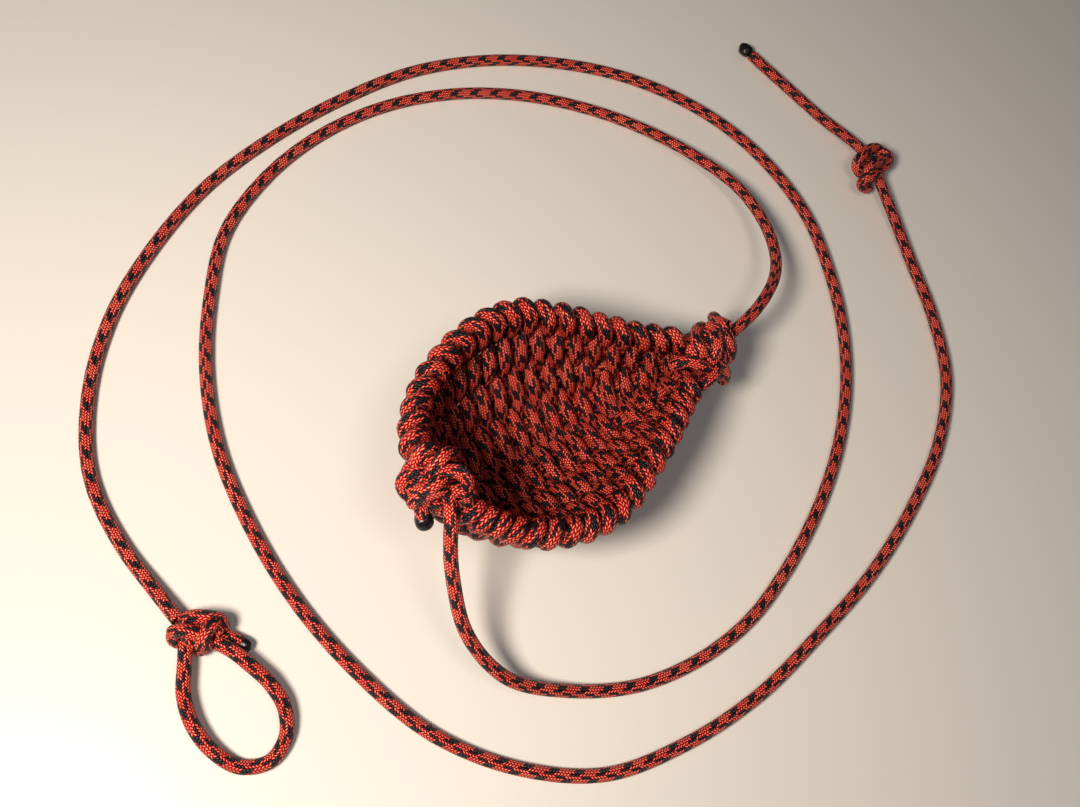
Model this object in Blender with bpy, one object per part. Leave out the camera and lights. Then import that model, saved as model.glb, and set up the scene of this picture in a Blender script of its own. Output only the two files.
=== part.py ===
"""Woven shepherd's sling of 4 mm braided cord: a cup woven round frame strands,
a retention cord with a finger loop, and a release cord with a stopper knot.

Blender 4.5, metres, +Z up. The origin is on the table under the middle of the cup,
+X runs along the cup from the finger-loop side to the release side.
"""

import math

import bmesh
import bpy
import numpy as np
from mathutils import Vector

MM = 0.001

# ---- sizes, in millimetres ----
CORD_D = 4.0            # braided nylon cord
STRAND_D = 3.6          # a frame strand, squeezed by the weft round it
STRAND_CLEAR = 0.6      # between a strand and the weft that wraps it
WALL = 10.4             # thickness of the woven wall, skin to skin
WALL_SWEEP = 64         # degrees of an ellipse from the keel to a rim, so the rims lean outwards
N_STRANDS = 8
N_ROWS = 10             # the weft is divided into this many bands of rows
ROW_GAP = 0.55          # between two bands, measured on the wall's middle

ORANGE = (0.78, 0.075, 0.02)
ORANGE_DARK = (0.55, 0.04, 0.012)
SHADE = (0.36, 0.03, 0.012)
MELTED = (0.012, 0.01, 0.011)

# ---- from the point that the shapes below are drawn round to the origin ----
PLACE = (0.62, 0.18, 0.0)

# ---- the cup's middle surface: one line per station along the cup ----
# keel x, y, z, then the far rim's x, y, z, then the near rim's x, y, z
STATIONS = (
    (-53.5, -5.5, 43, -56, 0, 50, -49.5, -11, 48),
    (-51, -3.5, 31, -52.5, 9, 47, -48, -15.5, 43),
    (-46, -0.5, 17, -45, 19, 43, -42.5, -21.5, 40),
    (-36, 0.3, 7.6, -33.5, 27, 40, -34, -28, 38),
    (-22, 0, 4.1, -19, 32, 38, -21.5, -32.5, 37),
    (-6, 0, 4.1, -4, 32, 37.5, -7, -32, 36),
    (9, 0, 5.2, 9, 24, 37, 8, -25, 35.5),
    (23, 0, 9.6, 21, 15.5, 35, 21, -18, 33),
    (36, 0, 15.5, 34, 8, 32, 33, -11, 30),
    (47, 0, 21.5, 46, 3, 29, 45, -5, 27),
)
WOVEN_FROM = 0.85       # station numbers where the weaving starts and ends
WOVEN_TO = 8.15
STRAND_FROM = 0.72
STRAND_TO = 8.28

# ---- routes of the cords, through points chosen along the table ----
RETENTION_ROUTE = (
    (-54.8, -16.2, 44.8), (-57, -21.2, 40), (-59, -29, 32), (-60, -41, 22), (-54, -56, 12),
    (-38, -68, 4.5), (-18, -77, 2.1), (4, -80, 2.1), (24, -78, 2.1), (42, -72, 2.1),
    (59, -64, 2.1), (77, -53, 2.1), (92, -41, 2.1), (106, -26, 2.1), (118, -8, 2.1),
    (127, 12, 2.1), (133, 34, 2.1), (133, 55, 2.1), (127, 79, 2.1), (115, 100, 2.1),
    (99, 117, 2.1), (78, 131, 2.1), (54, 141, 2.1), (27, 146, 2.1), (-4, 144, 2.1),
    (-33, 138, 2.1), (-61, 128, 2.1), (-84, 114, 2.1), (-104, 97, 2.1),
    (-120, 75, 2.1), (-129, 51, 2.1), (-129, 27, 2.6), (-126.3, 12, 4), (-124.3, 1.9, 5.4),
)
RELEASE_ROUTE = (
    (62.7, 1.6, 25.2), (71, 3.6, 25.6), (82, 8, 24), (97, 18, 18), (107, 34, 12.5), (110, 52, 8.5),
    (105, 73, 4.6), (95, 91, 2.6), (79, 108, 2.1), (59, 122, 2.1), (35, 132, 2.1),
    (9, 136, 2.1), (-18, 133, 2.1), (-42, 124, 2.1), (-62, 110, 2.1), (-76, 90, 2.1),
    (-87, 68, 2.1), (-94, 44, 2.1), (-96, 18, 2.1), (-94, -9, 2.1), (-88, -34, 2.1),
    (-77, -60, 2.1), (-61, -79, 2.1), (-40, -93, 2.1), (-15, -98, 2.1), (13, -98, 2.1),
    (41, -93, 2.1), (70, -86, 2.1), (98, -75, 2.1), (123, -61, 2.1), (142, -43, 2.1),
    (154, -20, 2.1), (161, 3, 2.4), (166.5, 24, 4), (169.2, 35.8, 5.2),
)
STOPPER_AT = (170.5, 41.5, 5.4)
STOPPER_R = 5.2
STOPPER_HALF = 5.6
STOPPER_TURN = 70       # degrees from +X to the way the tail leaves, seen from above
TAIL_ROUTE = (
    (171.9, 47.1, 5.0), (171.2, 55, 3.5), (167.5, 68, 2.2), (162.5, 86, 2.1), (157.0, 105.8, 2.3),
)
TAIL_TIP_AT = (156.2, 108.6, 2.4)
TAIL_TIP_R = 2.4

LOOP_KNOT_AT = (-120.5, -4.5, 5.9)
LOOP_KNOT_R = 5.6
LOOP_KNOT_HALF = 8.2    # half its length along its own axis
LOOP_KNOT_YAW = -8      # its axis, in degrees from +X
LOOP_ROUTE = (
    (-127.6, -9.9, 4.9), (-131.0, -17, 5.0), (-132.2, -25, 4.8), (-130.6, -33.6, 3.8),
    (-125.4, -41.4, 2.3), (-118.6, -43.4, 2.1), (-112.6, -40.0, 2.8), (-109.6, -33, 4.4),
    (-110.2, -25.6, 5.6), (-112.8, -18.4, 6.2), (-115.1, -13.2, 6.3),
)
LOOP_STUB_ROUTE = ((-113.6, -9.4, 3.0), (-113.1, -10.1, 2.9), (-112.7, -10.6, 2.8))
LOOP_TIP_AT = (-111.4, -12.2, 2.7)
LOOP_TIP_R = 2.0

RETENTION_KNOT_AT = (-54.8, -3.6, 46.8)
RETENTION_KNOT_R = 8.6
RETENTION_KNOT_HALF = 8.6
RELEASE_KNOT_AT = (50.2, 0.2, 25.0)
RELEASE_KNOT_R = 8.4
RELEASE_KNOT_HALF = 12.0
WEFT_STUB_ROUTE = ((-59.0, -11.55, 42.25), (-59.15, -11.6, 41.9), (-59.3, -11.75, 41.4))
WEFT_TIP_AT = (-60.0, -12.3, 38.3)
WEFT_TIP_R = 2.7


def clear_scene():
    for obj in list(bpy.data.objects):
        bpy.data.objects.remove(obj, do_unlink=True)


def material(name, colour, roughness, metallic=0.0):
    made = bpy.data.materials.new(name)
    made.use_nodes = True
    made.diffuse_color = (*colour, 1.0)
    shader = made.node_tree.nodes["Principled BSDF"]
    shader.inputs["Base Color"].default_value = (*colour, 1.0)
    shader.inputs["Roughness"].default_value = roughness
    shader.inputs["Metallic"].default_value = metallic
    return made


def smooth_route(points, step):
    """Evenly spaced points, about step apart, on one smooth curve through the route's points."""
    points = np.array(points, float)
    reach = np.linalg.norm(np.diff(points, axis=0), axis=1)
    knots = np.concatenate([[0], np.cumsum(reach)])
    slope = np.gradient(points, knots, axis=0, edge_order=2 if len(points) > 2 else 1)
    fine = np.linspace(0, knots[-1], 60 * len(points))
    k = np.clip(np.searchsorted(knots, fine) - 1, 0, len(points) - 2)
    span = (knots[k + 1] - knots[k])[:, None]
    u = (fine - knots[k])[:, None] / span
    curve = (
        (2 * u**3 - 3 * u**2 + 1) * points[k]
        + (u**3 - 2 * u**2 + u) * span * slope[k]
        + (3 * u**2 - 2 * u**3) * points[k + 1]
        + (u**3 - u**2) * span * slope[k + 1]
    )
    along = np.concatenate([[0], np.cumsum(np.linalg.norm(np.diff(curve, axis=0), axis=1))])
    count = max(2, int(round(along[-1] / step)) + 1)
    even = np.linspace(0, along[-1], count)
    return np.stack([np.interp(even, along, curve[:, i]) for i in range(3)], axis=1)


def tube(name, route, diameter, mat, step=10.0, sides=2):
    """A plain cord: a POLY spline with a round bevel and filled caps."""
    points = smooth_route(route, step)
    points[:, 2] = np.maximum(points[:, 2], diameter / 2 + 0.06)
    data = bpy.data.curves.new(name, "CURVE")
    data.dimensions = "3D"
    data.bevel_depth = diameter / 2 * MM
    data.bevel_resolution = sides
    data.use_fill_caps = True
    data.twist_mode = "MINIMUM"
    spline = data.splines.new("POLY")
    spline.points.add(len(points) - 1)
    for point, where in zip(spline.points, points * MM):
        point.co = (*where, 1.0)
    spline.use_smooth = True
    made = bpy.data.objects.new(name, data)
    made.location = Vector(PLACE) * MM
    bpy.context.collection.objects.link(made)
    made.data.materials.append(mat)
    return made


def mesh_object(name, points, faces, mat, smooth=True):
    data = bpy.data.meshes.new(name)
    data.from_pydata([tuple(p) for p in np.array(points) * MM], [], faces)
    data.validate()
    if smooth:
        data.shade_smooth()
        data.set_sharp_from_angle(angle=math.radians(40))
    made = bpy.data.objects.new(name, data)
    made.location = Vector(PLACE) * MM
    bpy.context.collection.objects.link(made)
    made.data.materials.append(mat)
    return made


def station(t):
    """The numbers of STATIONS at a fractional station, on smooth curves."""
    table = np.array(STATIONS, float)
    slope = np.gradient(table, axis=0)
    k = int(min(max(math.floor(t), 0), len(table) - 2))
    u = t - k
    return (
        (2 * u**3 - 3 * u**2 + 1) * table[k]
        + (u**3 - 2 * u**2 + u) * slope[k]
        + (3 * u**2 - 2 * u**3) * table[k + 1]
        + (u**3 - u**2) * slope[k + 1]
    )


def across(t, s):
    """Points of the cup's middle surface at station t. s runs from -1 at the near rim to 1 at the far one."""
    numbers = station(t)
    keel, far, near = numbers[0:3], numbers[3:6], numbers[6:9]
    sweep = math.radians(WALL_SWEEP)
    angle = np.linspace(-sweep, sweep, 241)[:, None]
    reach = np.where(angle < 0, near - keel, far - keel)
    climb = (1 - np.cos(angle)) / (1 - math.cos(sweep))
    part = np.concatenate([climb, abs(np.sin(angle)) / math.sin(sweep), climb], axis=1)
    line = keel + reach * part
    along = np.concatenate([[0], np.cumsum(np.linalg.norm(np.diff(line, axis=0), axis=1))])
    where = (np.asarray(s, float) + 1) / 2 * along[-1]
    return np.stack([np.interp(where, along, line[:, i]) for i in range(3)], axis=1)


def surface(t, s):
    """(points, outward normals, directions towards +s) of the middle surface."""
    s = np.asarray(s, float)
    e = 0.01
    here = across(t, s)
    along = across(t + e, s) - across(t - e, s)
    side = across(t, np.minimum(s + e, 1)) - across(t, np.maximum(s - e, -1))
    side /= np.linalg.norm(side, axis=1)[:, None]
    out = np.cross(along, side)
    out /= -np.linalg.norm(out, axis=1)[:, None]
    return here, out, side


def wall_loop(t, half_thickness, rim_reach, base=0.0):
    """The closed outline of the wall's cut at station t: down the outside, round one rim, up the inside."""
    s = np.linspace(-1, 1, 15)
    here, out, side = surface(t, s)
    turn = np.radians([54, 18, -18, -54])
    loop = list(here + out * half_thickness)
    loop += [
        here[-1] + rim_reach * (side[-1] * math.cos(a) + out[-1] * math.sin(a)) for a in turn
    ]
    loop += list((here - out * half_thickness)[::-1])
    loop += [
        here[0] + rim_reach * (-side[0] * math.cos(a) + out[0] * math.sin(a))
        for a in turn[::-1]
    ]
    loop = np.array(loop)
    loop[:, 2] = np.maximum(loop[:, 2], base)
    return loop


def weft_band(name, t_from, t_to, mat):
    """One band of weft rows: a flattened sleeve round all the frame strands, open at both ends."""
    outer_half = WALL / 2
    inner_half = STRAND_D / 2 + STRAND_CLEAR
    rows = np.linspace(t_from, t_to, 3)
    points, faces = [], []
    loops = [wall_loop(t, outer_half, outer_half) for t in rows]
    loops += [wall_loop(t, inner_half, inner_half * 1.12, base=1.6) for t in rows[::-1]]
    n = len(loops[0])
    for loop in loops:
        points.extend(loop)
    count = len(loops)
    for row in range(count):
        for i in range(n):
            a, b = row * n + i, row * n + (i + 1) % n
            c, d = (row + 1) % count * n + (i + 1) % n, (row + 1) % count * n + i
            faces.append((a, b, c, d))
    made = mesh_object(name, points, faces, mat)
    mesh = bmesh.new()
    mesh.from_mesh(made.data)
    bmesh.ops.recalc_face_normals(mesh, faces=mesh.faces)
    mesh.to_mesh(made.data)
    mesh.free()
    return made


def turned(name, profile, centre, axis_yaw, mat, tilt=0.0, sides=16):
    """A solid turned about a level axis: profile is (along the axis, radius) from end to end."""
    mesh = bmesh.new()
    rings = []
    for where, radius in profile:
        rings.append(
            [
                mesh.verts.new(
                    (
                        where * MM,
                        radius * math.cos(2 * math.pi * k / sides) * MM,
                        radius * math.sin(2 * math.pi * k / sides) * MM,
                    )
                )
                for k in range(sides)
            ]
        )
    for low, high in zip(rings, rings[1:]):
        for k in range(sides):
            mesh.faces.new((low[k], low[(k + 1) % sides], high[(k + 1) % sides], high[k]))
    mesh.faces.new(rings[0][::-1])
    mesh.faces.new(rings[-1])
    bmesh.ops.recalc_face_normals(mesh, faces=mesh.faces)
    data = bpy.data.meshes.new(name)
    mesh.to_mesh(data)
    mesh.free()
    data.shade_smooth()
    data.set_sharp_from_angle(angle=math.radians(50))
    made = bpy.data.objects.new(name, data)
    made.location = (Vector(centre) + Vector(PLACE)) * MM
    made.rotation_euler = (0, math.radians(tilt), math.radians(axis_yaw))
    bpy.context.collection.objects.link(made)
    data.materials.append(mat)
    return made


def wrapped_profile(half, radius, wraps, swell=0.12):
    """The outline of a knot's body: a rounded barrel with one swelling for each wrap."""
    profile = []
    count = 4 * wraps + 1
    for k in range(count):
        u = -1 + 2 * k / (count - 1)
        body = math.sqrt(max(0.0, 1 - abs(u) ** 2.6)) * 0.88 + 0.12
        wave = 1 + swell * (-math.cos(2 * math.pi * wraps * (u + 1) / 2) - 1) / 2
        profile.append((u * half, radius * body * wave))
    return profile


def pivot(name, centre, pieces):
    """An empty on a hinge's axis, carrying the pieces that turn about it."""
    empty = bpy.data.objects.new(name, None)
    empty.empty_display_size = 5 * MM
    empty.location = (Vector(centre) + Vector(PLACE)) * MM
    bpy.context.collection.objects.link(empty)
    for piece in pieces:
        piece.parent = empty
        piece.location -= empty.location


def build():
    clear_scene()
    braid = material("braided_cord", ORANGE, 0.5)
    frame_braid = material("frame_cord", SHADE, 0.6)
    weft_mats = [
        material("weft_cord_a", ORANGE, 0.5),
        material("weft_cord_b", ORANGE_DARK, 0.5),
    ]
    melted = material("melted_nylon", MELTED, 0.3)

    # the woven cup: frame strands, and the weft in bands of rows
    for k in range(N_STRANDS):
        s = -1 + 2 * k / (N_STRANDS - 1)
        route = [across(t, [s])[0] for t in np.linspace(STRAND_FROM, STRAND_TO, 17)]
        for point in route:
            point[2] = max(point[2], 4.0)
        tube(f"frame_strand_{k + 1}", route, STRAND_D, frame_braid, step=6.5)

    probe = np.linspace(-1, 1, 9)
    edges = np.linspace(WOVEN_FROM, WOVEN_TO, N_ROWS + 1)
    for k in range(N_ROWS):
        cut = []
        for edge in (edges[k], edges[k + 1]):
            step = across(edge + 0.02, probe) - across(edge - 0.02, probe)
            speed = np.linalg.norm(step, axis=1) / 0.04
            cut.append(ROW_GAP / 2 / speed.min())
        weft_band(f"weft_rows_{k + 1:02d}", edges[k] + cut[0], edges[k + 1] - cut[1], weft_mats[k % 2])

    # the knots that close the cup's two ends
    turned("retention_end_knot", wrapped_profile(RETENTION_KNOT_HALF, RETENTION_KNOT_R, 3),
           RETENTION_KNOT_AT, 70, braid)
    turned("release_end_knot", wrapped_profile(RELEASE_KNOT_HALF, RELEASE_KNOT_R, 4),
           RELEASE_KNOT_AT, 4, braid)
    tube("weft_cut_end", WEFT_STUB_ROUTE, CORD_D, braid, step=3.0)
    turned("weft_melted_tip", wrapped_profile(WEFT_TIP_R, WEFT_TIP_R, 1, swell=0.0),
           WEFT_TIP_AT, 20, melted, sides=12)
    tail_tip = turned("tail_melted_tip", wrapped_profile(TAIL_TIP_R, TAIL_TIP_R, 1, swell=0.0),
                      TAIL_TIP_AT, 110, melted, sides=12)

    # the cords and what is on them
    tube("retention_cord", RETENTION_ROUTE, CORD_D, braid)
    tube("release_cord", RELEASE_ROUTE, CORD_D, braid, step=10.8)
    loop = tube("finger_loop", LOOP_ROUTE, CORD_D, braid, step=5.0)
    tube("finger_loop_cut_end", LOOP_STUB_ROUTE, CORD_D, braid, step=2.5)
    turned("finger_loop_melted_tip", wrapped_profile(LOOP_TIP_R, LOOP_TIP_R, 1, swell=0.0),
           LOOP_TIP_AT, -52, melted, sides=12)
    tail = tube("release_tail", TAIL_ROUTE, CORD_D, braid, step=7.0)
    turned("finger_loop_knot", wrapped_profile(LOOP_KNOT_HALF, LOOP_KNOT_R, 4),
           LOOP_KNOT_AT, LOOP_KNOT_YAW, braid)
    turned("stopper_knot", wrapped_profile(STOPPER_HALF, STOPPER_R, 3),
           STOPPER_AT, STOPPER_TURN - 90, braid)

    # the loop swings about its knot's axis, and the tail about the stopper knot's
    pivot("finger_loop_pivot", LOOP_KNOT_AT, [loop])
    pivot("release_tail_pivot", STOPPER_AT, [tail, tail_tip])


build()
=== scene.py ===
"""A shepherd's sling woven from one kind of braided cord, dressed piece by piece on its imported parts.

Lengths are in millimetres, on the frame's own axes, until a mesh is made from them.
"""

import math

import bmesh
import bpy
import numpy as np
from mathutils import Matrix, Vector


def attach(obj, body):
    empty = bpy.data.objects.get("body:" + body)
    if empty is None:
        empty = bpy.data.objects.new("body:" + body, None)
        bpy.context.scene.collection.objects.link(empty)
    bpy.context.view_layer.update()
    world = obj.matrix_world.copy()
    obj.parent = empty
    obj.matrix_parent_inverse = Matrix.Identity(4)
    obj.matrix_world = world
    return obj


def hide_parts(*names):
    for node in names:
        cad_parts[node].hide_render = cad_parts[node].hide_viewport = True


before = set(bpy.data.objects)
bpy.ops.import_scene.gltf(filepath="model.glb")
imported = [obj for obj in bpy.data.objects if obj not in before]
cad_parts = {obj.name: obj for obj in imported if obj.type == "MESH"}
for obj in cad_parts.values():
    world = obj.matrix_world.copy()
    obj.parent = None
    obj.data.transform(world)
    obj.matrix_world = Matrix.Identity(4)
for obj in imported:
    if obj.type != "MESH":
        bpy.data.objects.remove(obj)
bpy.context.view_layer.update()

# ---------------------------------------------------------------------------------------------
# The camera: held by hand above the table, a wide lens looking down at the cup. It is turned as
# well as tilted, so that the cup lies aslant in its view.
# ---------------------------------------------------------------------------------------------
bpy.context.scene.view_settings.view_transform = "Standard"
bpy.context.scene.view_settings.look = "Medium High Contrast"
camera_data = bpy.data.cameras.new("camera")
camera_data.lens = 35
camera_data.sensor_width = 36
camera_data.clip_start = 0.01
camera = bpy.data.objects.new("camera", camera_data)
camera_right = Vector((0.83806, -0.50156, 0.21471))
camera_up = Vector((0.39999, 0.83247, 0.38341))
camera_turn = Matrix((camera_right, camera_up, camera_right.cross(camera_up))).transposed()
camera.matrix_world = Matrix.Translation((-0.12358, -0.06592, 0.3067)) @ camera_turn.to_4x4()
bpy.context.collection.objects.link(camera)
bpy.context.scene.camera = camera

# ---------------------------------------------------------------------------------------------
# The retention cord: 4 mm nylon, its sheath 32 yarns braided two over, two under, most of them
# orange, with black tracer yarns in both directions. It runs from under the knot at the cup's left
# end to the table, round outside the other cord and back to the knot of the finger loop.
# ---------------------------------------------------------------------------------------------
MM = 0.001
CORD_D = 4.0
PLACE = np.array((0.62, 0.18, 0.0))     # from the point the routes are drawn round to the origin
YARNS = 16                              # in each direction
CELLS_PER_DIAMETER = 4.3                # braid crossings along one diameter of cord
TRACER_EVERY = 8
TRACERS = 3                             # neighbouring black yarns
WEAR_SCALE = 170.0                      # how finely the wear varies, per metre
WEAR_LEAST, WEAR_SPREAD = 0.8, 0.4
# the yarns' colours: the plain orange is the yarns' own colour; the other four are painted light, a
# painted highlight on each yarn's crown and painted shade in the gaps between yarns, for orange and for
# black
ORANGE_PAINTED_HIGHLIGHT = (0.94, 0.29, 0.19)
ORANGE = (0.56, 0.012, 0.007)
ORANGE_PAINTED_SHADE = (0.07, 0.002, 0.003)
BLACK_PAINTED_HIGHLIGHT = (0.022, 0.016, 0.024)
BLACK_PAINTED_SHADE = (0.002, 0.0015, 0.003)
YARN_RISE = 0.35                        # how far a yarn bulges out of the sheath
SAME_POINT = 0.002                      # points this close are joined, which closes seams and ends
END_CAP = 0.03                          # how far a closed end bulges, in millimetres
TABLE_GAP = 0.05                        # the least gap between a cord and the table


def add(tree, kind, settings=(), **sockets):
    """A node with its settings made and its sockets filled, from values or other nodes' outputs."""
    node = tree.nodes.new(kind)
    for name, value in dict(settings).items():
        setattr(node, name, value)
    for name, value in sockets.items():
        key = int(name[1:]) if name[0] == "_" and name[1:].isdigit() else name.replace("_", " ")
        if isinstance(value, bpy.types.NodeSocket):
            tree.links.new(value, node.inputs[key])
        else:
            node.inputs[key].default_value = value
    return node


def calc(tree, operation, first, second=0.0, third=0.0):
    """One sum on a shader's numbers."""
    node = add(tree, "ShaderNodeMath", {"operation": operation}, _0=first, _1=second, _2=third)
    return node.outputs[0]


def either(tree, chooser, no, yes):
    """yes where chooser is 1, and no where it is 0."""
    node = add(tree, "ShaderNodeMix", {"data_type": "FLOAT"}, _0=chooser, _2=no, _3=yes)
    return node.outputs[0]


def braided_nylon(name, painted_shade):
    """The sheath's look. Its colours are all scaled by the second argument, as painted shade where cords
    lie tight against each other.
    """
    made = bpy.data.materials.new(name)
    made.use_nodes = True
    tree = made.node_tree
    shader = tree.nodes["Principled BSDF"]
    unrolled = add(tree, "ShaderNodeUVMap", {"uv_map": "UVMap"}).outputs[0]
    place = add(tree, "ShaderNodeSeparateXYZ", _0=unrolled)
    around = calc(tree, "MULTIPLY", place.outputs[0], YARNS)
    along = calc(tree, "MULTIPLY", place.outputs[1], CELLS_PER_DIAMETER)
    right = calc(tree, "ADD", around, along)
    left = calc(tree, "SUBTRACT", around, along)
    right_yarn = calc(tree, "FLOOR", right)
    left_yarn = calc(tree, "FLOOR", left)

    # which of the two yarns is on top here, how far along its float and how far across the yarn
    lay = calc(tree, "FLOORED_MODULO", calc(tree, "ADD", right_yarn, left_yarn), 4)
    right_on_top = calc(tree, "LESS_THAN", lay, 1.5)
    right_float = calc(tree, "FLOORED_MODULO", calc(tree, "ADD", left, right_yarn), 4)
    left_float = calc(tree, "FLOORED_MODULO", calc(tree, "ADD", right, left_yarn), 4)
    left_float = calc(tree, "SUBTRACT", left_float, 2)
    float_at = calc(tree, "SUBTRACT", either(tree, right_on_top, left_float, right_float), 1)
    across = either(tree, right_on_top, calc(tree, "FRACT", left), calc(tree, "FRACT", right))
    across = calc(tree, "MULTIPLY_ADD", across, 2, -1)
    crown = calc(tree, "SUBTRACT", 1, calc(tree, "MULTIPLY", across, across))
    dive = calc(tree, "SUBTRACT", 1, calc(tree, "POWER", calc(tree, "ABSOLUTE", float_at), 3))
    rise = calc(tree, "SQRT", calc(tree, "MAXIMUM", calc(tree, "MULTIPLY", crown, dive), 0))

    black_right = calc(tree, "FLOORED_MODULO", right_yarn, TRACER_EVERY)
    black_left = calc(tree, "FLOORED_MODULO", left_yarn, TRACER_EVERY)
    black = either(
        tree,
        right_on_top,
        calc(tree, "LESS_THAN", black_left, TRACERS - 0.5),
        calc(tree, "LESS_THAN", black_right, TRACERS - 0.5),
    )
    # worn yarns: a slow change over the object. Each yarn also gets a painted highlight on its crown and
    # painted shade in its gaps
    where = add(tree, "ShaderNodeTexCoord").outputs["Object"]
    wear = add(tree, "ShaderNodeTexNoise", Vector=where, Scale=WEAR_SCALE, Detail=2.0).outputs["Fac"]
    middle = calc(tree, "SUBTRACT", 1, calc(tree, "MULTIPLY", float_at, float_at))
    light = calc(tree, "POWER", calc(tree, "MAXIMUM", calc(tree, "MULTIPLY", crown, middle), 0), 0.6)
    light = calc(tree, "MULTIPLY", light, calc(tree, "MULTIPLY_ADD", wear, WEAR_SPREAD, WEAR_LEAST))

    # a yarn's ramp, from painted shade in its gaps up to a painted highlight on its crown
    def yarn(*stops):
        ramp = add(tree, "ShaderNodeValToRGB", Fac=light)
        for place_on_ramp, tone in stops:
            stop = ramp.color_ramp.elements.new(place_on_ramp)
            stop.color = (*(painted_shade * part for part in tone), 1)
        ramp.color_ramp.elements.remove(ramp.color_ramp.elements[0])
        ramp.color_ramp.elements.remove(ramp.color_ramp.elements[-1])
        return ramp.outputs[0]

    orange = yarn((0.10, ORANGE_PAINTED_SHADE), (0.45, ORANGE), (0.72, ORANGE), (0.97, ORANGE_PAINTED_HIGHLIGHT))
    dark = yarn((0.30, BLACK_PAINTED_SHADE), (0.90, BLACK_PAINTED_HIGHLIGHT))
    colour = add(tree, "ShaderNodeMix", {"data_type": "RGBA"}, _0=black, _6=orange, _7=dark)
    tree.links.new(colour.outputs[2], shader.inputs["Base Color"])
    shader.inputs["Roughness"].default_value = 0.42
    shader.inputs["Specular IOR Level"].default_value = 0.6 * painted_shade
    bump = add(tree, "ShaderNodeBump", Strength=1.0, Distance=YARN_RISE * MM, Height=rise)
    tree.links.new(bump.outputs[0], shader.inputs["Normal"])
    return made


def smooth_route(points, step):
    """Evenly spaced points, about step apart, on one smooth curve through the route's points."""
    points = np.array(points, float)
    reach = np.linalg.norm(np.diff(points, axis=0), axis=1)
    knots = np.concatenate([[0], np.cumsum(reach)])
    slope = np.gradient(points, knots, axis=0, edge_order=2 if len(points) > 2 else 1)
    fine = np.linspace(0, knots[-1], 60 * len(points))
    k = np.clip(np.searchsorted(knots, fine) - 1, 0, len(points) - 2)
    span = (knots[k + 1] - knots[k])[:, None]
    u = (fine - knots[k])[:, None] / span
    curve = (
        (2 * u**3 - 3 * u**2 + 1) * points[k]
        + (u**3 - 2 * u**2 + u) * span * slope[k]
        + (3 * u**2 - 2 * u**3) * points[k + 1]
        + (u**3 - u**2) * span * slope[k + 1]
    )
    along = np.concatenate([[0], np.cumsum(np.linalg.norm(np.diff(curve, axis=0), axis=1))])
    count = max(2, int(round(along[-1] / step)) + 1)
    even = np.linspace(0, along[-1], count)
    return np.stack([np.interp(even, along, curve[:, i]) for i in range(3)], axis=1)


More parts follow.
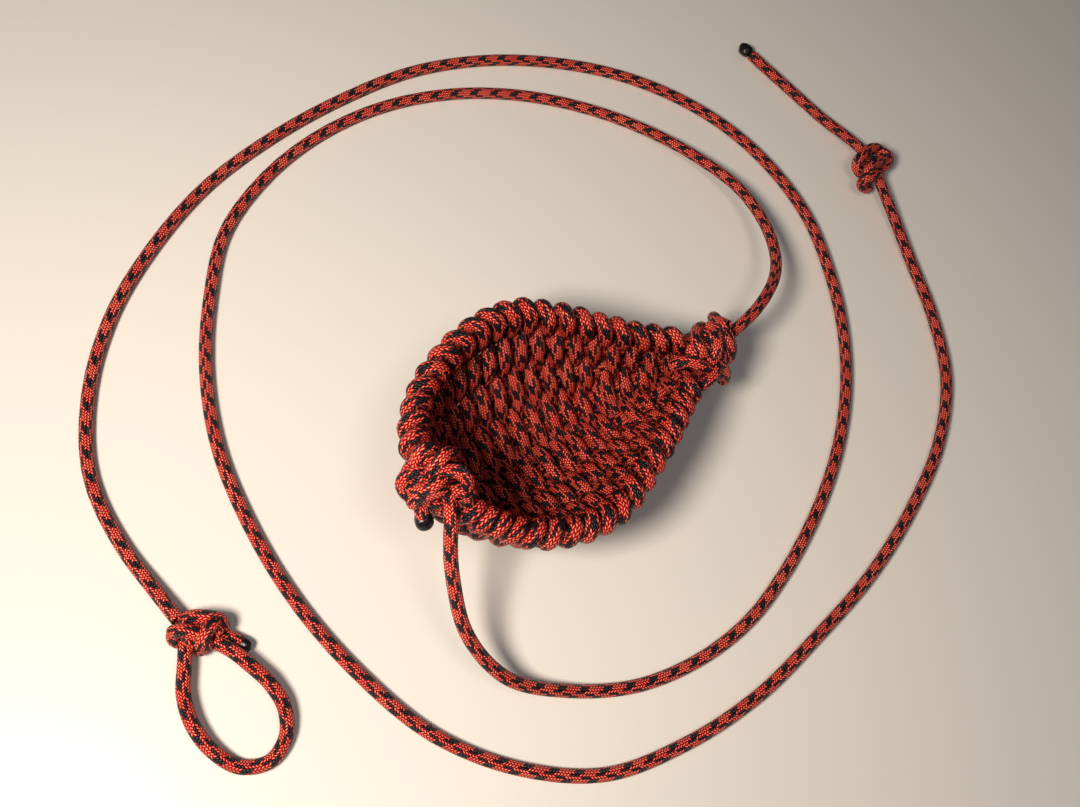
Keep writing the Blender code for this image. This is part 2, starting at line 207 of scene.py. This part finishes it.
def sheath_tree():
    """Geometry Nodes: a tube on each line of the path, of the cord's diameter, with the braid's UV map.

    girth scales the tube at a point, and pinch scales it along pinch_way only, where its neighbours
    press it flat or narrow."""
    tree = bpy.data.node_groups.new("cord_sheath", "GeometryNodeTree")
    sockets = (
        ("Path", "INPUT", "NodeSocketGeometry"),
        ("Diameter", "INPUT", "NodeSocketFloat"),
        ("Sides", "INPUT", "NodeSocketInt"),
        ("Sheath", "INPUT", "NodeSocketMaterial"),
        ("Cord", "OUTPUT", "NodeSocketGeometry"),
    )
    for name, direction, kind in sockets:
        tree.interface.new_socket(name, in_out=direction, socket_type=kind)
    given = tree.nodes.new("NodeGroupInput").outputs

    def named(name, kind):
        return add(tree, "GeometryNodeInputNamedAttribute", {"data_type": kind}, Name=name).outputs[0]

    def store(geometry, name, kind, domain, value):
        settings = {"data_type": kind, "domain": domain}
        node = add(tree, "GeometryNodeStoreNamedAttribute", settings, Geometry=geometry, Name=name)
        tree.links.new(value, node.inputs["Value"])
        return node.outputs[0]

    line = add(tree, "GeometryNodeMeshToCurve", Mesh=given["Path"]).outputs[0]
    line = add(tree, "GeometryNodeSetCurveRadius", Curve=line, Radius=named("girth", "FLOAT")).outputs[0]
    run = add(tree, "GeometryNodeSplineParameter").outputs
    line = store(line, "along", "FLOAT", "POINT", run["Length"])
    here = add(tree, "GeometryNodeInputPosition").outputs[0]
    line = store(line, "middle", "FLOAT_VECTOR", "POINT", here)
    radius = calc(tree, "MULTIPLY", given["Diameter"], 0.5)
    points = calc(tree, "ADD", given["Sides"], 1)
    ring = add(tree, "GeometryNodeCurveArc", Resolution=points, Radius=radius, Sweep_Angle=2 * math.pi)
    ring = store(ring.outputs[0], "around", "FLOAT", "POINT", run["Factor"])
    tube = add(tree, "GeometryNodeCurveToMesh", Curve=line, Profile_Curve=ring).outputs[0]

    # the squeeze: move each point along pinch_way, towards the cord's middle or away from it
    way = named("pinch_way", "FLOAT_VECTOR")
    middle = named("middle", "FLOAT_VECTOR")
    offset = add(tree, "ShaderNodeVectorMath", {"operation": "SUBTRACT"}, _0=here, _1=middle)
    out = add(tree, "ShaderNodeVectorMath", {"operation": "DOT_PRODUCT"}, _0=offset.outputs[0], _1=way)
    share = calc(tree, "SUBTRACT", named("pinch", "FLOAT"), 1)
    amount = calc(tree, "MULTIPLY", out.outputs["Value"], share)
    shift = add(tree, "ShaderNodeVectorMath", {"operation": "SCALE"}, _0=way, Scale=amount)
    tube = add(tree, "GeometryNodeSetPosition", Geometry=tube, Offset=shift.outputs[0]).outputs[0]

    # the braid's UV map: once round the cord in u, and one for each diameter along it in v
    diameters = calc(tree, "DIVIDE", named("along", "FLOAT"), given["Diameter"])
    uv = add(tree, "ShaderNodeCombineXYZ", _0=named("around", "FLOAT"), _1=diameters).outputs[0]
    tube = store(tube, "UVMap", "FLOAT2", "CORNER", uv)
    tube = add(tree, "GeometryNodeMergeByDistance", Geometry=tube, Distance=SAME_POINT * MM).outputs[0]
    for name in ("girth", "pinch", "pinch_way", "along", "middle", "around"):
        tube = add(tree, "GeometryNodeRemoveAttribute", Geometry=tube, Name=name).outputs[0]
    tube = add(tree, "GeometryNodeSetShadeSmooth", Geometry=tube).outputs[0]
    tube = add(tree, "GeometryNodeRealizeInstances", Geometry=tube).outputs[0]
    tube = add(tree, "GeometryNodeSetMaterial", Geometry=tube, Material=given["Sheath"]).outputs[0]
    tree.links.new(tube, tree.nodes.new("NodeGroupOutput").inputs[0])
    return tree


CORD_SHEATH = sheath_tree()
BRAID = braided_nylon("braided_nylon", 1.0)


def sheathe(name, lines, body, diameter=CORD_D, sides=16, pinches=None, ways=None, look=BRAID):
    """One piece of cord on each line of points, capped at both ends, riding on a body."""
    points, edges, girth, pinch, way = [], [], [], [], []
    for k, line in enumerate(lines):
        line = np.asarray(line, float)
        first = line[0] - END_CAP * (line[1] - line[0]) / np.linalg.norm(line[1] - line[0])
        last = line[-1] + END_CAP * (line[-1] - line[-2]) / np.linalg.norm(line[-1] - line[-2])
        start = len(points)
        points.extend([first, *line, last])
        edges.extend((i, i + 1) for i in range(start, len(points) - 1))
        girth.extend([0.0, *([1.0] * len(line)), 0.0])
        squeeze = np.ones(len(line)) if pinches is None else pinches[k]
        across = np.zeros((len(line), 3)) if ways is None else ways[k]
        pinch.extend([squeeze[0], *squeeze, squeeze[-1]])
        way.extend([across[0], *across, across[-1]])
    path = bpy.data.meshes.new(name + "_path")
    path.from_pydata([tuple(p) for p in (np.array(points) + PLACE) * MM], edges, [])
    for attribute, values in (("girth", girth), ("pinch", pinch)):
        numbers = path.attributes.new(attribute, "FLOAT", "POINT").data
        numbers.foreach_set("value", np.array(values, np.float32))
    ways_of_path = path.attributes.new("pinch_way", "FLOAT_VECTOR", "POINT")
    ways_of_path.data.foreach_set("vector", np.array(way, np.float32).ravel())

    carrier = bpy.data.objects.new(name + "_path", path)
    bpy.context.collection.objects.link(carrier)
    modifier = carrier.modifiers.new("sheath", "NODES")
    modifier.node_group = CORD_SHEATH
    values = {"Diameter": diameter * MM, "Sides": sides, "Sheath": look}
    for socket in CORD_SHEATH.interface.items_tree:
        if socket.name in values:
            modifier[socket.identifier] = values[socket.name]
    bpy.context.view_layer.update()
    ready = carrier.evaluated_get(bpy.context.evaluated_depsgraph_get())
    mesh = bpy.data.meshes.new_from_object(ready)
    bpy.data.objects.remove(carrier)
    bpy.data.meshes.remove(path)
    return place_piece(name, mesh, body)


def place_piece(name, mesh, body):
    """A piece from a finished mesh: faces turned outwards, riding on its body."""
    mesh.name = name
    shape = bmesh.new()
    shape.from_mesh(mesh)
    bmesh.ops.recalc_face_normals(shape, faces=shape.faces)
    shape.to_mesh(mesh)
    shape.free()
    piece = bpy.data.objects.new(name, mesh)
    bpy.context.collection.objects.link(piece)
    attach(piece, body)
    return piece


def laid_route(points, step):
    """A smooth route that doesn't sink into the table."""
    line = smooth_route(points, step)
    line[:, 2] = np.maximum(line[:, 2], CORD_D / 2 + TABLE_GAP)
    return line


RETENTION_ROUTE = (
    (-51.0, -7.0, 45.5), (-52.8, -11.6, 46.2), (-54.8, -16.2, 44.8), (-57, -21.2, 40),
    (-59, -29, 32), (-60, -41, 22), (-54, -56, 12),
    (-38, -68, 4.5), (-18, -77, 2.1), (4, -80, 2.1), (24, -78, 2.1), (42, -72, 2.1),
    (59, -64, 2.1), (77, -53, 2.1), (92, -41, 2.1), (106, -26, 2.1), (118, -8, 2.1),
    (127, 12, 2.1), (133, 34, 2.1), (133, 55, 2.1), (127, 79, 2.1), (115, 100, 2.1),
    (99, 117, 2.1), (78, 131, 2.1), (54, 141, 2.1), (27, 146, 2.1), (-4, 144, 2.1),
    (-33, 138, 2.1), (-61, 128, 2.1), (-84, 114, 2.1), (-104, 97, 2.1),
    (-120, 75, 2.1), (-129, 51, 2.1), (-129, 27, 2.6), (-126.3, 12, 4), (-124.3, 1.9, 5.4),
)
retention_line = laid_route(RETENTION_ROUTE, 2.0)
retention = sheathe("retention_cord_braided", [retention_line], "sling")
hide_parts("retention_cord")

# ---------------------------------------------------------------------------------------------
# The release cord: stiffly out of the knot at the cup's right end, down to the table, round
# inside and then outside the other cord, to the stopper knot.
# ---------------------------------------------------------------------------------------------
RELEASE_ROUTE = (
    (56.5, 0.5, 25.0), (62.7, 1.6, 25.2), (71, 3.6, 25.6), (82, 8, 24), (97, 18, 18),
    (107, 34, 12.5), (110, 52, 8.5), (105, 73, 4.6), (95, 91, 2.6), (79, 108, 2.1),
    (59, 122, 2.1), (35, 132, 2.1),
    (9, 136, 2.1), (-18, 133, 2.1), (-42, 124, 2.1), (-62, 110, 2.1), (-76, 90, 2.1),
    (-87, 68, 2.1), (-94, 44, 2.1), (-96, 18, 2.1), (-94, -9, 2.1), (-88, -34, 2.1),
    (-77, -60, 2.1), (-61, -79, 2.1), (-40, -93, 2.1), (-15, -98, 2.1), (13, -98, 2.1),
    (41, -93, 2.1), (70, -86, 2.1), (98, -75, 2.1), (123, -61, 2.1), (142, -43, 2.1),
    (154, -20, 2.1), (161, 3, 2.4), (166.5, 24, 4), (169.2, 35.8, 5.2),
)
release_line = laid_route(RELEASE_ROUTE, 2.0)
release = sheathe("release_cord_braided", [release_line], "sling")
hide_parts("release_cord")

# ---------------------------------------------------------------------------------------------
# The finger loop: the end of the retention cord, turned back into its knot. It stands a little
# off the table at the knot and lies on it at the far side.
# ---------------------------------------------------------------------------------------------
LOOP_ROUTE = (
    (-125.0, -4.6, 4.6), (-127.6, -9.9, 4.9), (-131.0, -17, 5.0), (-132.2, -25, 4.8),
    (-130.6, -33.6, 3.8), (-125.4, -41.4, 2.3), (-118.6, -43.4, 2.1), (-112.6, -40.0, 2.8),
    (-109.6, -33, 4.4),
    (-110.2, -25.6, 5.6), (-112.8, -18.4, 6.2), (-115.1, -13.2, 6.3), (-118.0, -8.6, 5.6),
)
loop_line = laid_route(LOOP_ROUTE, 1.5)
finger_loop = sheathe("finger_loop_braided", [loop_line], "loop")
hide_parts("finger_loop")

# ---------------------------------------------------------------------------------------------
# The tail: the last of the release cord, past the stopper knot. It lies on the table, and its end
# is cut and melted.
# ---------------------------------------------------------------------------------------------
TAIL_ROUTE = (
    (171.9, 47.1, 5.0), (171.2, 55, 3.5), (167.5, 68, 2.2), (162.5, 86, 2.1), (157.0, 105.8, 2.3),
)
tail_line = laid_route(TAIL_ROUTE, 1.5)
tail = sheathe("release_tail_braided", [tail_line], "tail")
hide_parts("release_tail")

# ---------------------------------------------------------------------------------------------
# The cup: eight frame strands, and one weft cord woven over and under them, back and forth,
# 38 times. Each turn round an outermost strand makes one bump of the rim, and both ends of the
# weft are held by the knots.
# ---------------------------------------------------------------------------------------------
# at stations along the cup, the x, y, z of its keel, then of its far rim, then of its near rim
STATIONS = (
    (-53.5, -5.5, 43, -56, 0, 50, -49.5, -11, 48),
    (-51, -3.5, 31, -52.5, 9, 47, -48, -15.5, 43),
    (-46, -0.5, 17, -45, 19, 43, -42.5, -21.5, 40),
    (-36, 0.3, 7.6, -33.5, 27, 40, -34, -28, 38),
    (-22, 0, 4.1, -19, 32, 38, -21.5, -32.5, 37),
    (-6, 0, 4.1, -4, 32, 37.5, -7, -32, 36),
    (9, 0, 5.2, 9, 24, 37, 8, -25, 35.5),
    (23, 0, 9.6, 21, 15.5, 35, 21, -18, 33),
    (36, 0, 15.5, 34, 8, 32, 33, -11, 30),
    (47, 0, 21.5, 46, 3, 29, 45, -5, 27),
)
WALL_SWEEP = 64                         # degrees of an ellipse from the keel to a rim
WALL_POINTS = 241                       # points round the wall, from rim to rim
STRANDS = 8
STRAND_D = 2.6                          # its thickness in the wall
STRAND_SPREAD = 2.6                     # its width there, in thicknesses
STRAND_FROM, STRAND_TO = 0.15, 8.8      # stations
STRAND_POINTS = 60
PASSES = 38
WOVEN_FROM, WOVEN_TO = 0.62, 8.75       # stations of the first pass and the last one
EVEN_LINES = (-1, -0.4, 0.3, 1)         # where round the wall the passes' spacing is evened out
FLOAT_LENGTH = 12.0                     # the length of one float, from gap to gap
FLOAT_RISE = 2.5                        # from the wall's middle to the middle of a float
FLOAT_FULLNESS = 0.8                    # below 1, a float stays high for most of its length
RIM_REACH = 3.2                         # how far a turn round an outermost strand stands out
SAMPLES = 12                            # points along one float
WEFT_SEED = 7
RISE_SPREAD, RIM_SPREAD = 0.05, 0.08    # how much the floats and the rim's turns differ
# the cord's width along the cup, in its diameters: for each mm between passes, least and most
GAP_WIDTH = (0.31, 0.64, 1.35)
FLOAT_WIDTH = (0.36, 0.74, 1.15)
WIDTH_FULLNESS = 1.3                    # above 1, the width changes close to a strand's middle
RIM_WIDTH = 1.12
WEFT_FROM, WEFT_TO = (-55.5, -5.0, 45.0), (52.0, 0.0, 23.0)


def station(t):
    """The numbers of STATIONS at a fractional station, on smooth curves."""
    table = np.array(STATIONS, float)
    slope = np.gradient(table, axis=0)
    k = int(min(max(math.floor(t), 0), len(table) - 2))
    u = t - k
    return (
        (2 * u**3 - 3 * u**2 + 1) * table[k]
        + (u**3 - 2 * u**2 + u) * slope[k]
        + (3 * u**2 - 2 * u**3) * table[k + 1]
        + (u**3 - u**2) * slope[k + 1]
    )


def across_cup(t, s):
    """Points of the wall's middle at station t. s runs from -1 at the near rim to 1 at the far one."""
    numbers = station(t)
    keel, far, near = numbers[0:3], numbers[3:6], numbers[6:9]
    sweep = math.radians(WALL_SWEEP)
    angle = np.linspace(-sweep, sweep, WALL_POINTS)[:, None]
    reach = np.where(angle < 0, near - keel, far - keel)
    climb = (1 - np.cos(angle)) / (1 - math.cos(sweep))
    part = np.concatenate([climb, abs(np.sin(angle)) / math.sin(sweep), climb], axis=1)
    line = keel + reach * part
    along = np.concatenate([[0], np.cumsum(np.linalg.norm(np.diff(line, axis=0), axis=1))])
    where = (np.asarray(s, float) + 1) / 2 * along[-1]
    return np.stack([np.interp(where, along, line[:, i]) for i in range(3)], axis=1)


def cup_surface(t, s):
    """(points, outward normals, directions towards +s, directions along the cup, length across)."""
    s = np.asarray(s, float)
    nudge = 0.01
    here = across_cup(t, s)
    along = across_cup(t + nudge, s) - across_cup(t - nudge, s)
    side = across_cup(t, np.minimum(s + nudge, 1)) - across_cup(t, np.maximum(s - nudge, -1))
    side /= np.linalg.norm(side, axis=1)[:, None]
    out = np.cross(along, side)
    out /= -np.linalg.norm(out, axis=1)[:, None]
    along = np.cross(side, out)
    along /= np.linalg.norm(along, axis=1)[:, None]
    whole = across_cup(t, np.linspace(-1, 1, 60))
    return here, out, side, along, np.linalg.norm(np.diff(whole, axis=0), axis=1).sum()


def weft_cord():
    """The weft's points, its width along the cup at each and the direction of that width."""
    rng = np.random.default_rng(WEFT_SEED)
    fine = np.linspace(WOVEN_FROM, WOVEN_TO, 300)
    lines = np.array([across_cup(t, EVEN_LINES) for t in fine])
    reach = np.linalg.norm(np.diff(lines, axis=0), axis=2).mean(axis=1)
    reach = np.concatenate([[0], np.cumsum(reach)])
    stations = np.interp(np.linspace(0, reach[-1], PASSES + 1), reach, fine)
    points, pinch, ways = [], [], []
    for j in range(PASSES):
        t, t_next = stations[j], stations[j + 1]
        width = cup_surface(t, [0.0])[-1]
        # an odd number of gaps, so that a pass starts inside the wall and ends outside it
        gaps = int(np.clip(2 * round((width / FLOAT_LENGTH - 1) / 2) + 1, 3, 7))
        towards = 1 if j % 2 == 0 else -1
        u = np.linspace(0, 1, gaps * SAMPLES + 1)
        s = towards * (2 * u - 1)
        rng.standard_normal()           # unused: it keeps the draws after it as they are
        here, out, side, along, _ = cup_surface(t, s)
        rise = FLOAT_RISE * (1 + RISE_SPREAD * rng.standard_normal())
        wave = np.cos(math.pi * gaps * u)
        height = -rise * np.sign(wave) * abs(wave) ** FLOAT_FULLNESS
        points.extend(here + out * height[:, None])
        spacing = np.linalg.norm(across_cup(t_next, s) - across_cup(t, s), axis=1)
        at_gap = np.clip(GAP_WIDTH[0] * spacing, *GAP_WIDTH[1:])
        on_strand = np.clip(FLOAT_WIDTH[0] * spacing, *FLOAT_WIDTH[1:])
        pinch.extend(at_gap + (on_strand - at_gap) * abs(wave) ** WIDTH_FULLNESS)
        ways.extend(along)
        if j == PASSES - 1:
            break
        # the turn round the outermost strand, from the outside of the wall to its inside
        turn = np.linspace(0, math.pi, SAMPLES + 2)[1:-1]
        reach_out = RIM_REACH * (1 + RIM_SPREAD * rng.standard_normal())
        for angle in turn:
            share = angle / math.pi
            t_turn = t + (t_next - t) * share * share * (3 - 2 * share)
            here, out, side, along, _ = cup_surface(t_turn, [float(towards)])
            points.append(
                here[0]
                + towards * side[0] * reach_out * math.sin(angle)
                + out[0] * rise * math.cos(angle)
            )
            pinch.append(RIM_WIDTH)
            ways.append(along[0])
    # both ends are tucked away into the knots
    head = smooth_route((WEFT_FROM, points[0] + (0, 0, 1.5), points[0]), 1.5)[:-1]
    foot = smooth_route((points[-1], points[-1] + (1.5, 0, 1), WEFT_TO), 1.5)[1:]
    points = [*head, *points, *foot]
    pinch = [1.0] * len(head) + pinch + [1.0] * len(foot)
    ways = [ways[0]] * len(head) + ways + [ways[-1]] * len(foot)
    return np.array(points), np.array(pinch), np.array(ways)


weft_points, weft_pinch, weft_ways = weft_cord()
# the weft and the frame strands: the cords' own braided nylon with all its colours scaled down to 0.82,
# as painted shade where the cords lie tight in the weave
SHADED_BRAID = braided_nylon("braided_nylon_painted_shade", 0.82)
weft = sheathe("weft_cord_woven", [weft_points], "sling", sides=12,
               pinches=[weft_pinch], ways=[weft_ways], look=SHADED_BRAID)
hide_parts(*[f"weft_rows_{k:02d}" for k in range(1, 11)])
strand_stations = np.linspace(STRAND_FROM, STRAND_TO, STRAND_POINTS)
strand_spread = np.full(STRAND_POINTS, STRAND_SPREAD)
for k in range(STRANDS):
    s = -1 + 2 * k / (STRANDS - 1)
    line = [across_cup(t, [s])[0] for t in strand_stations]
    round_wall = [cup_surface(t, [s])[2][0] for t in strand_stations]
    strand = sheathe(f"frame_strand_{k + 1}_cord", [line], "sling", diameter=STRAND_D, sides=12,
                     pinches=[strand_spread], ways=[round_wall], look=SHADED_BRAID)
    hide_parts(f"frame_strand_{k + 1}")

# ---------------------------------------------------------------------------------------------
# The four knots. Each is a core of close turns round the knot's axis, with the turns that
# are pulled over it lying on top.
# ---------------------------------------------------------------------------------------------
POINTS_PER_TURN = 14


def turns(centre, yaw, radius, length, count):
    """A helix of count turns round a level axis, evenly spaced over a length. yaw is in degrees."""
    angle = np.linspace(0, 2 * math.pi * count, int(POINTS_PER_TURN * count) + 1)
    along = np.linspace(-length / 2, length / 2, len(angle))
    axis = np.array((math.cos(math.radians(yaw)), math.sin(math.radians(yaw)), 0))
    side = np.cross((0, 0, 1), axis)
    up = np.cross(axis, side)
    ring = side * np.cos(angle)[:, None] + up * np.sin(angle)[:, None]
    return np.array(centre) + axis * along[:, None] + ring * radius


def knot(name, node, body, core, strands):
    """One knot: the turns of its core, and the routes of the strands pulled over them."""
    lines = [turns(*part) for part in core]
    lines += [smooth_route(route, 1.0) for route in strands]
    tied = sheathe(name, lines, body, sides=14)
    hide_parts(node)


knot(
    "retention_end_knot_turns", "retention_end_knot", "sling",
    (((-55.1, -3.6, 46.0), 70, 4.6, 11.0, 2.5), ((-55.1, -3.6, 46.0), 70, 1.6, 10.0, 2.2)),
    (
        ((-56.4, -3.2, 45), (-56, -3.8, 50), (-53.8, -4.5, 52.5), (-50.7, -5.3, 53), (-48.5, -6.7, 53),
         (-47.4, -8.9, 52), (-47.4, -10.3, 49.5), (-47.9, -10.3, 46), (-49.5, -8.0, 43)),
        ((-52.6, -1.9, 47), (-55.6, -2.1, 50), (-58.2, -1.3, 50.5), (-60.4, -0.9, 49.5),
         (-61.7, -1.8, 47.5), (-61.4, -3.8, 45.5), (-59.6, -6.2, 44.5), (-56.9, -8.4, 44),
         (-53.9, -9.3, 43), (-50.9, -8.5, 41)),
        ((-59.7, -1.9, 46), (-59.8, -5, 49), (-58.3, -6.7, 51.5), (-55.9, -6.8, 53),
         (-53, -6.1, 52), (-50, -5.9, 48)),
        ((-55.2, -3.7, 50), (-54.3, -3.3, 53), (-52.7, -2.5, 54.5), (-50.5, -1.5, 54.5),
         (-48.1, -1.2, 52.5), (-46.3, -1.6, 48.5), (-46.5, -1.8, 43)),
        ((-57, 0.1, 49), (-56.4, 1.4, 51.5), (-54.7, 2.4, 53), (-52.5, 2.7, 52.5),
         (-50.7, 1.9, 49.5), (-49.9, 1.0, 45)),
    ),
)
knot(
    "release_end_knot_turns", "release_end_knot", "sling",
    (((50.2, 0.2, 25), 4, 5.9, 17, 4.2), ((50.2, 0.2, 25), 4, 2.4, 19, 3.0)),
    (
        ((35.2, -0.8, 29), (36.2, -1.4, 31.5), (38.2, -2.8, 33), (40.4, -4.8, 33), (43.2, -6.8, 31),
         (46.5, -8.5, 28), (50.4, -9.1, 24)),
        ((53.1, 2.9, 30), (51.6, 0.2, 32.5), (50.1, -2.3, 33), (48.4, -3.9, 32), (47.4, -4.8, 29)),
        ((52.4, 6.9, 27), (47.8, 5.3, 30.5), (44.9, 2.7, 32.5), (43.9, 0, 33), (45, -2.4, 31)),
        ((60.2, 9, 24), (58.4, 6.6, 27.5), (56.9, 2.9, 30), (57, -0.4, 29.5), (57.7, -2.9, 27),
         (58, -4, 23)),
        ((46.2, -3.6, 30), (47.3, -5.8, 29.5), (49.8, -7.7, 28), (51.6, -9.4, 25), (52, -10.3, 21)),
    ),
)
knot(
    "finger_loop_knot_turns", "finger_loop_knot", "sling",
    (((-120.5, -4.0, 5.4), -8, 2.6, 8.5, 2.4),),
    (
        ((-121.7, -0.2, 6), (-124.7, -1.2, 7.5), (-126.9, -1.5, 6), (-127, -2.8, 3.5), (-125.1, -4.1, 3)),
        ((-126.8, -1, 6.5), (-124.7, -2.1, 9), (-122.4, -4, 9.5), (-120.8, -6.5, 8.5),
         (-120.5, -8.3, 5.5)),
        ((-122.8, 1.1, 6), (-120.1, -0.2, 8.5), (-117.2, -2.2, 9.5), (-114.9, -3.8, 8),
         (-114.7, -5.4, 5.5)),
        ((-115.3, -3.9, 7), (-117.6, -4.8, 10), (-120.1, -6.5, 10), (-122, -7.5, 7.5),
         (-122.3, -8.1, 4)),
    ),
)
knot(
    "stopper_knot_turns", "stopper_knot", "sling",
    (((170.2, 41.4, 5.0), 60, 2.4, 6.5, 2.0),),
    (
        ((174.4, 47.5, 5), (167.3, 45.9, 8), (163.2, 44.5, 8), (162.9, 42.7, 6), (164.1, 40.2, 5)),
        ((164.7, 44.5, 8.5), (168.5, 46.4, 9), (172.9, 46.8, 8.5), (177.3, 45.9, 6), (179, 44.3, 4)),
        ((176.5, 44.8, 6), (177.3, 43, 7.5), (177.8, 40.8, 6.5), (174.7, 38.9, 6.5), (171, 39, 7)),
        ((161.6, 37.3, 7.5), (163.1, 38.6, 9.5), (166.2, 39.7, 10), (170.9, 40.6, 9), (176.8, 41.5, 6)),
        ((170.9, 37, 5), (163.2, 36.5, 9), (159.9, 36.6, 8.5), (160, 36, 6), (162.9, 34.2, 4)),
    ),
)

# ---------------------------------------------------------------------------------------------
# The cut ends, melted with a flame so that they don't fray: black, shiny and lumpy.
# ---------------------------------------------------------------------------------------------
LUMPS = 9
LUMP_RISE = 0.10                        # as a share of the radius
LUMP_SPREAD = 0.25                      # how far a lump reaches, in radii squared
LUMP_SHRINK = 0.08                      # takes back what the lumps add to the whole
BLUNTNESS = 0.7                         # 1 is a ball, and less is nearer a short cylinder


def melted_nylon():
    """The look of charred, glossy nylon."""
    made = bpy.data.materials.new("melted_nylon")
    made.use_nodes = True
    tree = made.node_tree
    shader = tree.nodes["Principled BSDF"]
    shader.inputs["Base Color"].default_value = (0.012, 0.009, 0.011, 1)
    shader.inputs["Roughness"].default_value = 0.30
    where = add(tree, "ShaderNodeTexCoord").outputs["Object"]
    lumps = add(tree, "ShaderNodeTexNoise", Vector=where, Scale=900.0, Detail=2.0).outputs["Fac"]
    bump = add(tree, "ShaderNodeBump", Strength=0.8, Distance=0.4 * MM, Height=lumps)
    tree.links.new(bump.outputs[0], shader.inputs["Normal"])
    return made


MELTED = melted_nylon()


def melted_end(name, node, body, at, way, radius, length, seed):
    """A lump of melted sheath over a cord's cut end, blunt along way."""
    rng = np.random.default_rng(seed)
    shape = bmesh.new()
    bmesh.ops.create_icosphere(shape, subdivisions=4, radius=1.0)
    bumps = rng.normal(size=(LUMPS, 3))
    bumps /= np.linalg.norm(bumps, axis=1)[:, None]
    turn = Vector(way).to_track_quat("Z", "Y").to_matrix()
    for vertex in shape.verts:
        here = np.array(vertex.co)
        nearness = np.exp(-((bumps - here) ** 2).sum(axis=1) / LUMP_SPREAD)
        swell = 1 + LUMP_RISE * nearness.sum() - LUMP_SHRINK
        level = math.copysign(abs(here[2]) ** BLUNTNESS, here[2])
        point = Vector((here[0] * radius, here[1] * radius, level * length / 2)) * swell
        vertex.co = (turn @ point + Vector(at) + Vector(PLACE)) * MM
    mesh = bpy.data.meshes.new(name)
    shape.to_mesh(mesh)
    shape.free()
    mesh.shade_smooth()
    mesh.materials.append(MELTED)
    lump = place_piece(name, mesh, body)
    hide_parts(node)


melted_end("tail_melted_end", "tail_melted_tip", "tail",
           (156.2, 108.6, 2.4), (-5.5, 20, 0.2), 2.35, 6.2, 3)
melted_end("weft_melted_end", "weft_melted_tip", "sling",
           (-59.4, -11.3, 39.5), (0.1, -2.4, -3.7), 2.75, 5.6, 4)
melted_end("finger_loop_melted_end", "finger_loop_melted_tip", "sling",
           (-111.6, -12.3, 2.8), (3.5, -5.5, -0.4), 2.1, 4.6, 5)

WEFT_END_ROUTE = ((-56.4, -6.0, 46.0), (-59.5, -8.9, 43.2), (-59.4, -10.1, 41.5))
weft_end = sheathe("weft_cut_end_cord", [smooth_route(WEFT_END_ROUTE, 1.0)], "sling")
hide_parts("weft_cut_end")

LOOP_END_ROUTE = (
    (-116.5, -6.0, 4.0), (-114.6, -8.2, 3.2), (-113.3, -9.9, 2.9), (-112.0, -11.6, 2.8),
)
loop_end = sheathe("finger_loop_cut_end_cord", [smooth_route(LOOP_END_ROUTE, 1.0)], "sling")
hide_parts("finger_loop_cut_end")

# ---------------------------------------------------------------------------------------------
# The table and the light: a pale, slightly glossy top, lit by a small warm lamp high on the left,
# by the room's weaker ceiling light and by a little cool daylight.
# ---------------------------------------------------------------------------------------------
floor_mesh = bpy.data.meshes.new("floor")
floor_mesh.from_pydata([(-4, -4, 0), (4, -4, 0), (4, 4, 0), (-4, 4, 0)], [], [(0, 1, 2, 3)])
floor = bpy.data.objects.new("floor", floor_mesh)
bpy.context.collection.objects.link(floor)
table_top = bpy.data.materials.new("table_top")
table_top.use_nodes = True
top = table_top.node_tree.nodes["Principled BSDF"]
top.inputs["Base Color"].default_value = (0.72, 0.69, 0.65, 1)
top.inputs["Roughness"].default_value = 0.33
floor_mesh.materials.append(table_top)

lamp_data = bpy.data.lights.new("lamp", "AREA")
lamp_data.shape = "DISK"
lamp_data.size = 0.11
lamp_data.energy = 2.1
lamp_data.color = (1.0, 0.90, 0.78)
lamp = bpy.data.objects.new("lamp", lamp_data)
lamp.location = (-0.260, -0.022, 0.356)
lamp.rotation_euler = Vector((0.8, 0.3, -0.6)).to_track_quat("-Z", "Y").to_euler()
bpy.context.collection.objects.link(lamp)

# the ceiling light is high and wide, on the near side of the cup, and aims at its foot
CEILING_AT = Vector((-0.06, -0.20, 0.75))
ceiling_data = bpy.data.lights.new("ceiling", "AREA")
ceiling_data.shape = "DISK"
ceiling_data.size = 0.22
ceiling_data.energy = 0.8
ceiling_data.color = (1.0, 0.93, 0.86)
ceiling = bpy.data.objects.new("ceiling", ceiling_data)
ceiling.location = CEILING_AT
ceiling.rotation_euler = (Vector((0, 0, 0)) - CEILING_AT).to_track_quat("-Z", "Y").to_euler()
bpy.context.collection.objects.link(ceiling)

world = bpy.data.worlds.new("room")
world.use_nodes = True
world.node_tree.nodes["Background"].inputs[0].default_value = (0.72, 0.82, 1.0, 1)
world.node_tree.nodes["Background"].inputs[1].default_value = 0.09
bpy.context.scene.world = world
